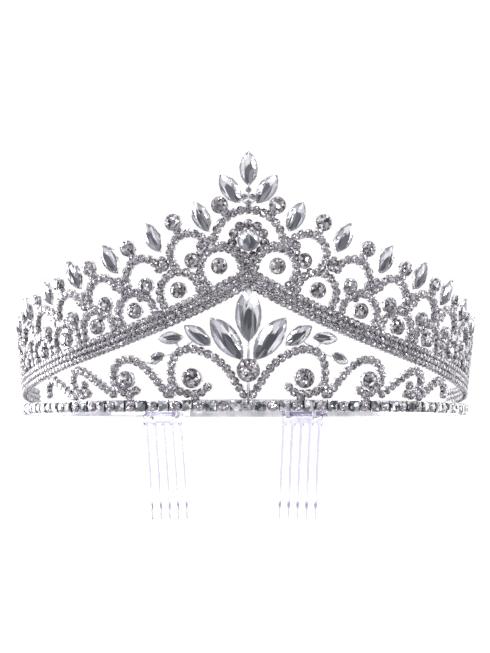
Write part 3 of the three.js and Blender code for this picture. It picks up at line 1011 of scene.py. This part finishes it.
def navette_tray(name, length, width):
    """An open tray a little larger than its stone, with claws at the points and along the sides."""
    depth = 0.2 * width + 0.15 * MM
    base = 0.3 * MM
    wall = 0.16 * MM
    claw_size = 0.5 * MM
    tray = navette_blank(name, length + 0.4 * MM, width + 0.25 * MM, depth, base)
    pick(tray, lambda face: face.normal.z > 0.9)
    bpy.ops.mesh.inset(thickness=wall, depth=0)
    bpy.ops.mesh.extrude_region_move(TRANSFORM_OT_translate={"value": (0, 0, -0.6 * depth)})
    bpy.ops.object.mode_set(mode="OBJECT")
    parts = [tray]
    up = 0.21 * length  # how far from the middle the side claws stand, and the half width there
    side = 0.5 * width * (1 - (2 * up / length) ** 2) + 0.12 * MM
    high = base + depth + claw_size
    spots = [(0, length / 2), (0, -length / 2)]
    spots += [(x * side, y * up) for x in (-1, 1) for y in (-1, 1)]
    for x, y in spots:
        bpy.ops.object.select_all(action="DESELECT")
        bpy.ops.mesh.primitive_cube_add(
            size=1, location=(x, y, high / 2 + 0.2 * MM), scale=(claw_size, claw_size, high)
        )
        claw = bpy.context.object
        bpy.ops.object.transform_apply(location=True, rotation=True, scale=True)
        pick(claw, lambda face: face.normal.z > 0.9)
        inward = Vector((-x, -y, 0)).normalized() * 0.45 * MM
        bpy.ops.transform.resize(value=(0.7, 0.7, 1), center_override=(x, y, high))
        bpy.ops.transform.translate(value=inward)
        bpy.ops.object.mode_set(mode="OBJECT")
        bevelled(claw, 0.08 * MM, 1)
        parts.append(claw)
    return joined(name, parts)


edge_length = 9.3
edge_width = 4.9
edge_stone = navette_stone("edge_stone", edge_length * MM, edge_width * MM)
edge_tray = navette_tray("edge_tray", edge_length * MM, edge_width * MM)
edge_tilt = 26.0
crest_scale = 1.03
crest_out = 0.5
face_out = 0.3
# Name, place on the face and tilt.
crest = (
    ("centre", (0.0, 69.8), 0.0),
    ("left", (-3.65, 64.1), -36.0),
    ("right", (3.65, 64.1), 36.0),
)
trays = []
for name, place, tilt in crest:
    at = face_matrix(place, crest_out, -math.radians(tilt), crest_scale)
    piece(
        copies(f"crest_{name}", edge_stone, [at]),
        f"crest_{name}",
        large_crystal,
        stands_for=[f"crest_navette_{name}"],
    )
    trays.append(at)
piece(copies("crest_trays", edge_tray, trays), "crest_trays", tray_silver_painted_shade)
for sign, side in ((-1, "left"), (1, "right")):
    trays = []
    for i, turn in enumerate(upper_scallops):
        place = edge_place(turn)
        spin = -math.radians(sign * edge_tilt)
        at = face_matrix((sign * place[0], place[1]), face_out, spin, scallop_scale(turn))
        piece(
            copies(f"edge_{side}_{i + 1}", edge_stone, [at]),
            f"edge_{side}_{i + 1}",
            large_crystal,
            stands_for=[f"edge_navette_{side}_{i + 1}"],
        )
        trays.append(at)
    piece(copies(f"edge_trays_{side}", edge_tray, trays), f"edge_trays_{side}", tray_silver_painted_shade)

# Name, place on the face, tilt, length and width.
leaves = (
    ("inner", (4.6, 21.3), 37.0, 15.2, 6.8),
    ("middle", (10.8, 22.3), 54.0, 9.6, 4.6),
    ("outer", (16.9, 21.7), 93.0, 7.6, 3.6),
    ("tip", (20.5, 15.8), 116.0, 5.8, 2.9),
)
centre_length = 15.8
centre_width = 7.6
centre_leaf = navette_stone("centre_leaf", centre_length * MM, centre_width * MM)
centre_tray = navette_tray("centre_tray", centre_length * MM, centre_width * MM)
leaf_at = face_matrix((0, 28.3), face_out)
leaf_gem = copies("centre_leaf", centre_leaf, [leaf_at])
piece(leaf_gem, "centre_leaf_gem", large_crystal, stands_for=["leaf_centre"])
piece(copies("centre_leaf_tray", centre_tray, [leaf_at]), "centre_leaf_tray", tray_silver_painted_shade)
for name, place, tilt, length, width in leaves:
    stone = navette_stone(f"leaf_{name}_cut", length * MM, width * MM)
    tray = navette_tray(f"leaf_{name}_tray", length * MM, width * MM)
    both = []
    for sign, side in ((-1, "left"), (1, "right")):
        at = face_matrix((sign * place[0], place[1]), face_out, -math.radians(sign * tilt))
        both.append(at)
        piece(
            copies(f"leaf_{name}_{side}_gem", stone, [at]),
            f"leaf_{name}_{side}_gem",
            large_crystal,
            stands_for=[f"leaf_{name}_{side}"],
        )
    piece(copies(f"leaf_{name}_trays", tray, both), f"leaf_{name}_trays", tray_silver_painted_shade)
    bpy.data.objects.remove(stone)
    bpy.data.objects.remove(tray)

# ---- Wires behind the stones -------------------------------------------------------------------
# Round plated wire, soldered to the backs of the trays, fans out from the crest's foot and from the
# palmette's stem, and reaches the leaves from the top of the first scroll. Four small stones sit just
# above the crest's foot.

wire_size = 0.45
wire_outs = (0.6, 0.8)  # how far out from the face a wire starts and ends
crest_foot = (0.0, 59.6)
crest_gem_places = ((0, 63.9), (-0.8, 62), (0.8, 62), (0, 60.2))
crest_gem_scale = 0.66
stem_foot = (0, 3.4)
stem_fork = (0, 12)
stem_top = (0, 28)
inner_leaf_end = (4.7, 21.3)
branch = (14.6, 18.2)


def wire(start, end):
    """A wire behind the stones, from one place on the face to another."""
    return bar(on_face(*start, wire_outs[0]) * MM, on_face(*end, wire_outs[1]) * MM, wire_size * MM)


crest_wires = [wire(crest_foot, place) for _, place, _ in crest]
crest_gems = [face_matrix(place, out=0.6, scale=crest_gem_scale) for place in crest_gem_places]
piece(
    joined("crest_setting", crest_wires + [copies("crest_cups", chain_cup, crest_gems)]),
    "crest_wires",
    wire_silver,
    stands_for=["crest_setting"],
)
piece(copies("crest_small_gems", chain_stone, crest_gems), "crest_small_gems", large_crystal)
stem = [wire(stem_foot, stem_top)]
for sign in (-1, 1):
    stem.append(wire(stem_fork, (sign * inner_leaf_end[0], inner_leaf_end[1])))
    for _, place, _, _, _ in leaves[1:]:
        stem.append(wire((sign * branch[0], branch[1]), (sign * place[0], place[1])))
palmette = joined("palmette_wires", stem)
piece(palmette, "palmette_wires", wire_silver, stands_for=["palmette_setting"])

# ---- Palmette's heart --------------------------------------------------------------------------
# One large round stone of foiled glass at the foot of the leaves. It sits in a pressed cup with six
# claws, soldered to the stem.

heart_at = face_matrix((0, 12.1), out=0.6, spin=0.26, scale=1.06)
heart = copies("heart_gem", halo_stone, [heart_at])
piece(heart, "heart_gem", round_crystal, stands_for=["palmette_heart"])
piece(copies("heart_cup", halo_cup, [heart_at]), "heart_cup", cup_silver_painted_shade)

# ---- Scrolls -----------------------------------------------------------------------------------
# Lengths of cup chain bent by hand: each rises from the rail, rolls over and curls in round its own
# stone. They shrink from the centre towards the sides.

scroll_paths = (
    (
        (0.5, 4.2), (1.3, 5.6), (2.7, 8.4), (4.4, 12), (6.5, 14.9), (9, 17), (12, 18.3), (14.6, 17.9),
        (16.5, 15.7), (17.2, 12.3), (17, 8.6), (15.6, 6.2), (13, 5.2), (10.4, 5.6), (8.4, 8),
    ),
    (
        (17.8, 4.4), (20, 8), (22, 11.3), (24.2, 14), (27, 15.6), (29.8, 15.1), (31.5, 12.8), (31.9, 10.2),
        (31, 7.5), (29.3, 5.9), (27.2, 5.5), (25.3, 7),
    ),
    (
        (31.5, 4.9), (33.5, 6.5), (35.7, 8.4), (38, 10.4), (40.3, 12.1), (42.6, 12.9), (44.6, 11.5),
        (44.8, 8.8), (43.3, 6.3), (41.2, 5.2), (39.2, 6.2),
    ),
    ((43.8, 4.4), (46.2, 6), (48.6, 7.8), (51, 9.6), (53.2, 10.3), (55, 9), (55.7, 7), (55.4, 4.9)),
)
scroll_ties = (
    (((17.1, 8.4), (17.4, 6.4), (17.4, 4.2)), ((11.8, 3.2), (11.8, 4.4))),
    (((27.9, 3.2), (27.9, 4.4)),),
    (),
    (),
)
scroll_gems = (("inner", (12.4, 9.8), 6.0), ("outer", (28.3, 9.6), 5.4), ("side", (41, 8.3), 2.8))
for sign, side in ((-1, "left"), (1, "right")):
    for i, path in enumerate(scroll_paths):
        chains = [mirrored(places, sign) for places in (path, *scroll_ties[i])]
        chained(f"scroll_{i + 1}_{side}", chains, [], f"scroll_{i + 1}_{side}")
    cups = []
    for name, place, diameter in scroll_gems:
        at = face_matrix((sign * place[0], place[1]), out=0.1, spin=0.2, scale=diameter / big_setting)
        piece(
            copies(f"scroll_gem_{name}_{side}", big_stone, [at]),
            f"scroll_gem_{name}_{side}",
            round_crystal,
            stands_for=[f"scroll_stone_{name}_{side}"],
        )
        cups.append(at)
    gem_cups = copies(f"scroll_gem_cups_{side}", big_cup, cups)
    piece(gem_cups, f"scroll_gem_cups_{side}", cup_silver_painted_shade)

# ---- Combs -------------------------------------------------------------------------------------
# Clear acrylic side combs, moulded in one shot: a round rod along the top, a thin spine with two windows
# for the binding, and five long teeth that taper to blunt tips. Each lies along a chord inside its strip.

comb_turns = {"left": -153.5, "right": 160.5}
comb_width = 17.0
comb_tilt = math.radians(10)
rod_radius = 1.5
rod_height = 1.75
tooth_pitch = 3.75
tooth_length = 39.0
spine_drop = 4.7
spine_top = 0.8
comb_thickness = 1.6
taper_drop = 35.4  # how far below the rail's bottom edge a tooth starts its last taper
window_places = (-1.5 * tooth_pitch, 1.5 * tooth_pitch)
window_width = 2.0
window_height = 1.8
rod_reach = math.sqrt((ring_radius - 0.3 - rod_radius) ** 2 - (comb_width / 2) ** 2)


# Clear moulded acrylic, tumble-polished: almost nothing to see on the flat, a faint lavender where light
# runs along the edges, soft flow marks, and a painted slate shade where each tooth starts to taper, for the
# dark that refraction makes there.
def clear_acrylic():
    material, shader = new_material(
        "clear_acrylic_moulded", {"Transmission Weight": 1.0, "IOR": 1.49, "Roughness": 0.05}
    )
    place = add_node(material, "ShaderNodeTexCoord")
    flow = add_node(
        material, "ShaderNodeTexNoise", {"Scale": 1 / (6 * MM), "Detail": 1.0}, {"Vector": (place, "Object")}
    )
    tint = add_node(material, "ShaderNodeValToRGB", {}, {"Fac": (flow, "Fac")})
    tint.color_ramp.elements[0].color = srgb("#D9D6EC")
    tint.color_ramp.elements[1].color = srgb("#ECEAF8")
    # Painted shade: a dark band across each tooth where its last taper starts, standing in for the dark of
    # refraction.
    level = add_node(material, "ShaderNodeSeparateXYZ", {}, {"Vector": (place, "Object")})
    from_taper = add_node(
        material, "ShaderNodeMath", {"operation": "ADD", 1: taper_drop * MM}, {0: (level, "Z")}
    )
    distance = add_node(material, "ShaderNodeMath", {"operation": "ABSOLUTE"}, {0: (from_taper, "Value")})
    shade = add_node(
        material,
        "ShaderNodeMapRange",
        {"From Min": 0.6 * MM, "From Max": 2 * MM, "To Min": 0.65, "To Max": 0.0},
        {"Value": (distance, "Value")},
    )
    both = add_node(
        material,
        "ShaderNodeMix",
        {"data_type": "RGBA", 7: srgb("#6F7388")},
        {0: (shade, "Result"), 6: (tint, "Color")},
    )
    material.node_tree.links.new(both.outputs[2], shader.inputs["Base Color"])
    bump = add_node(
        material, "ShaderNodeBump", {"Strength": 0.2, "Distance": 0.1 * MM}, {"Height": (flow, "Fac")}
    )
    drive(material, shader, "Normal", bump, "Normal")
    return material


acrylic = clear_acrylic()


def comb_matrix(turn):
    """Where a comb's rod lies, on a chord of the ring that faces this many degrees round."""
    angle = math.radians(turn)
    out = Vector((math.sin(angle), -math.cos(angle), 0))
    across = Vector((out.y, -out.x, 0))
    turned = Matrix((across, out, Vector((0, 0, 1)))).transposed().to_4x4()
    spot = out * rod_reach
    spot.z = rod_height
    return Matrix.Translation(spot * MM) @ turned


def moulded_comb():
    """The comb about its rod's axis: x along the rod, teeth down -z."""
    bpy.ops.object.select_all(action="DESELECT")
    bpy.ops.mesh.primitive_cube_add(size=1)
    body = bpy.context.object
    body.scale = (comb_width * MM, comb_thickness * MM, (spine_drop - spine_top) * MM)
    body.location = (0, 0, -(spine_drop + spine_top) / 2 * MM)
    bpy.ops.object.transform_apply(location=True, rotation=True, scale=True)
    half = tooth_pitch / 4
    middles = [(i - 2) * tooth_pitch for i in range(5)]
    for middle in middles:
        for side in (-half, half):
            pick(body, lambda face: True)
            bpy.ops.mesh.bisect(
                plane_co=((middle + side) * MM, 0, 0), plane_no=(1, 0, 0), threshold=0.001 * MM
            )
            bpy.ops.object.mode_set(mode="OBJECT")
    # How far down each stretch of a tooth goes, and how much narrower and thinner it gets.
    stretches = (
        (1.2, 0.9, 0.95),
        (0.8 * tooth_length, 0.78, 0.85),
        (0.2 * tooth_length - 1.7, 0.5, 0.6),
        (0.5, 0.5, 0.5),
    )
    for middle in middles:
        x = middle * MM
        low = -spine_drop * MM
        pick(
            body,
            lambda face: face.normal.z < -0.9
            and abs(face.center.x - x) < 0.3 * MM
            and face.center.z < low + 0.1 * MM,
        )
        for drop, narrow, thin in stretches:
            bpy.ops.mesh.extrude_region_move(TRANSFORM_OT_translate={"value": (0, 0, -drop * MM)})
            low -= drop * MM
            bpy.ops.transform.resize(value=(narrow, thin, 1), center_override=(x, 0, low))
        bpy.ops.object.mode_set(mode="OBJECT")
    outward(body)
    bevelled(body, 0.28 * MM, 2)
    bpy.ops.object.select_all(action="DESELECT")
    bpy.ops.mesh.primitive_cylinder_add(
        vertices=24, radius=rod_radius * MM, depth=comb_width * MM, rotation=(0, math.pi / 2, 0)
    )
    rod = bpy.context.object
    bpy.ops.object.transform_apply(location=True, rotation=True, scale=True)
    bevelled(rod, 0.3 * MM, 2)
    slots = []
    for x in window_places:
        bpy.ops.object.select_all(action="DESELECT")
        bpy.ops.mesh.primitive_cube_add(size=1)
        slot = bpy.context.object
        slot.scale = (window_width * MM, 4 * MM, window_height * MM)
        slot.location = (x * MM, 0, -(rod_radius + window_height / 2) * MM)
        bpy.ops.object.transform_apply(location=True, rotation=True, scale=True)
        bevelled(slot, 0.25 * MM, 2)
        slots.append(slot)
    for tool, operation in ((rod, "UNION"), (slots[0], "DIFFERENCE"), (slots[1], "DIFFERENCE")):
        cut = body.modifiers.new("cut", "BOOLEAN")
        cut.operation = operation
        cut.solver = "EXACT"
        cut.object = tool
        only(body)
        bpy.ops.object.modifier_apply(modifier=cut.name)
        bpy.data.objects.remove(tool)
    body.data.transform(Matrix.Rotation(-comb_tilt, 4, "X"))
    smooth(body, 50)
    return body


comb_blank = moulded_comb()
for side, turn in comb_turns.items():
    piece(
        copies(f"hair_comb_{side}", comb_blank, [comb_matrix(turn)]),
        f"hair_comb_{side}",
        acrylic,
        body=f"comb_{side}",
        stands_for=[f"comb_{side}"],
    )

# ---- Binding wires -----------------------------------------------------------------------------
# Three turns of soft plated wire at each of two windows in the comb's spine, wound round the rod and
# the strip and pulled tight, so that the comb swings stiffly. A straight run joins the two places.

wire_radius = 0.27
turn_pitch = 0.56
loop_radius = 2.35
loop_slack = 0.35
outer_squash = 0.55
outer_half = 1.2  # half the depth of the squashed part


def binding():
    """Both sets of turns and the run that joins them, about the comb's rod."""
    outer = ring_radius + strip_thickness - rod_reach + loop_slack
    turns = []
    for x in window_places:
        for step in (-turn_pitch, 0.0, turn_pitch):
            bpy.ops.object.select_all(action="DESELECT")
            bpy.ops.mesh.primitive_torus_add(
                major_radius=loop_radius * MM,
                minor_radius=wire_radius * MM,
                major_segments=28,
                minor_segments=8,
                rotation=(0, math.pi / 2, 0),
                location=((x + step) * MM, 0, 0),
            )
            turn = bpy.context.object
            bpy.ops.object.transform_apply(location=True, rotation=True, scale=True)
            # The half beyond the rod is squashed flat and pulled out round the strip.
            pick(turn, lambda face: face.center.y > 0.05 * MM)
            bpy.ops.transform.resize(value=(1, outer_squash, 1), center_override=(0, 0, 0))
            bpy.ops.transform.translate(value=(0, (outer - outer_half) * MM, 0))
            bpy.ops.object.mode_set(mode="OBJECT")
            turns.append(turn)
    bpy.ops.object.select_all(action="DESELECT")
    bpy.ops.mesh.primitive_cylinder_add(
        vertices=8,
        radius=wire_radius * MM,
        depth=3 * tooth_pitch * MM,
        rotation=(0, math.pi / 2, 0),
        location=(0, (outer + 0.3) * MM, 0.4 * MM),
    )
    run = bpy.context.object
    bpy.ops.object.transform_apply(location=True, rotation=True, scale=True)
    pick(run, lambda face: abs(face.normal.x) > 0.9)
    bpy.ops.mesh.inset(thickness=0.1 * MM, depth=0.1 * MM)
    bpy.ops.object.mode_set(mode="OBJECT")
    made = joined("binding", turns + [run])
    smooth(made, 60)
    return made


binding_blank = binding()
for side, turn in comb_turns.items():
    piece(
        copies(f"binding_{side}", binding_blank, [comb_matrix(turn)]),
        f"binding_{side}",
        wire_silver,
        stands_for=[f"comb_binding_{side}"],
    )

for unit in (
    square_stone, square_cup, round_stone, round_cup, tiny_stone, tiny_cup, tiny_link, chain_stone, chain_cup,
    small_link, big_stone, big_cup, halo_stone, halo_cup, edge_stone, edge_tray, centre_leaf, centre_tray,
    comb_blank, binding_blank,
):
    bpy.data.objects.remove(unit)

# ---- Studio ------------------------------------------------------------------------------------
# A pale floor well below the piece, a bright room and four soft boxes, with the camera just below the
# level of the rail. The paper is greyer under the piece, painted shade so that silver and clear parts stand
# out on it, and it glows a little, painted light.

bpy.ops.object.select_all(action="DESELECT")
bpy.ops.mesh.primitive_plane_add(size=30, location=(0, 0, -0.35))
floor = bpy.context.object
floor.name = "floor"
# The paper's emission is painted light, a glow that follows the painted shade from grey near the piece to
# white far behind.
paper, paper_shader = new_material("white_paper_sweep_painted_shade_and_glow", {"Roughness": 0.8, "Emission Strength": 0.6})
depth_in_room = add_node(paper, "ShaderNodeTexCoord")
room_axes = add_node(paper, "ShaderNodeSeparateXYZ", {}, {"Vector": (depth_in_room, "Object")})
nearness = add_node(
    paper, "ShaderNodeMapRange", {"From Min": 0.5, "From Max": 1.4}, {"Value": (room_axes, "Y")}
)
painted_floor_shade_and_glow = add_node(paper, "ShaderNodeValToRGB", {}, {"Fac": (nearness, "Result")})
painted_floor_shade_and_glow.color_ramp.elements[0].color = srgb("#A4A4A6")
painted_floor_shade_and_glow.color_ramp.elements[1].color = srgb("#FCFCFC")
for socket in ("Base Color", "Emission Color"):
    drive(paper, paper_shader, socket, painted_floor_shade_and_glow, "Color")
floor.data.materials.append(paper)

# The room is brightest at the sides and behind, dimmer on the viewer's side and plain white straight behind.
world = bpy.data.worlds.new("bright_room")
bpy.context.scene.world = world
world.use_nodes = True
background = world.node_tree.nodes["Background"]
where = add_node(world, "ShaderNodeTexCoord")
direction = add_node(world, "ShaderNodeSeparateXYZ", {}, {"Vector": (where, "Generated")})
glow = add_node(world, "ShaderNodeValToRGB", {}, {"Fac": (direction, "Y")})
glow.color_ramp.elements[0].position = 0.0
glow.color_ramp.elements[0].color = (0.43, 0.43, 0.435, 1)
glow.color_ramp.elements[1].position = 0.35
glow.color_ramp.elements[1].color = (1, 1, 1, 1)
for position, level in ((0.8, 1.0), (0.88, 0.52)):
    glow.color_ramp.elements.new(position).color = (level, level, level, 1)
world.node_tree.links.new(glow.outputs["Color"], background.inputs["Color"])
background.inputs["Strength"].default_value = 2.0

for name, place, size, power in (
    ("left_box", (-0.9, -0.9, 0.7), 0.5, 4),
    ("right_box", (1.0, -0.7, 0.5), 0.4, 3),
    ("top_box", (0.0, -0.2, 1.2), 0.6, 4),
    ("left_rear_box", (-1.0, 0.4, 0.15), 0.8, 12),
):
    lamp = bpy.data.lights.new(name, "AREA")
    lamp.size = size
    lamp.energy = power
    box = bpy.data.objects.new(name, lamp)
    box.location = place
    box.rotation_euler = (Vector((0, 0, 0.03)) - Vector(place)).to_track_quat("-Z", "Y").to_euler()
    bpy.context.scene.collection.objects.link(box)

lens = bpy.data.cameras.new("camera")
lens.lens = 70.1
lens.shift_y = 0.16
lens.clip_start = 0.01
camera = bpy.data.objects.new("camera", lens)
camera.location = (-0.0055, -0.45, -0.00584)
camera.rotation_euler = (math.pi / 2, 0, math.radians(-0.7))
bpy.context.scene.collection.objects.link(camera)
bpy.context.scene.camera = camera
bpy.context.scene.view_settings.view_transform = "Standard"
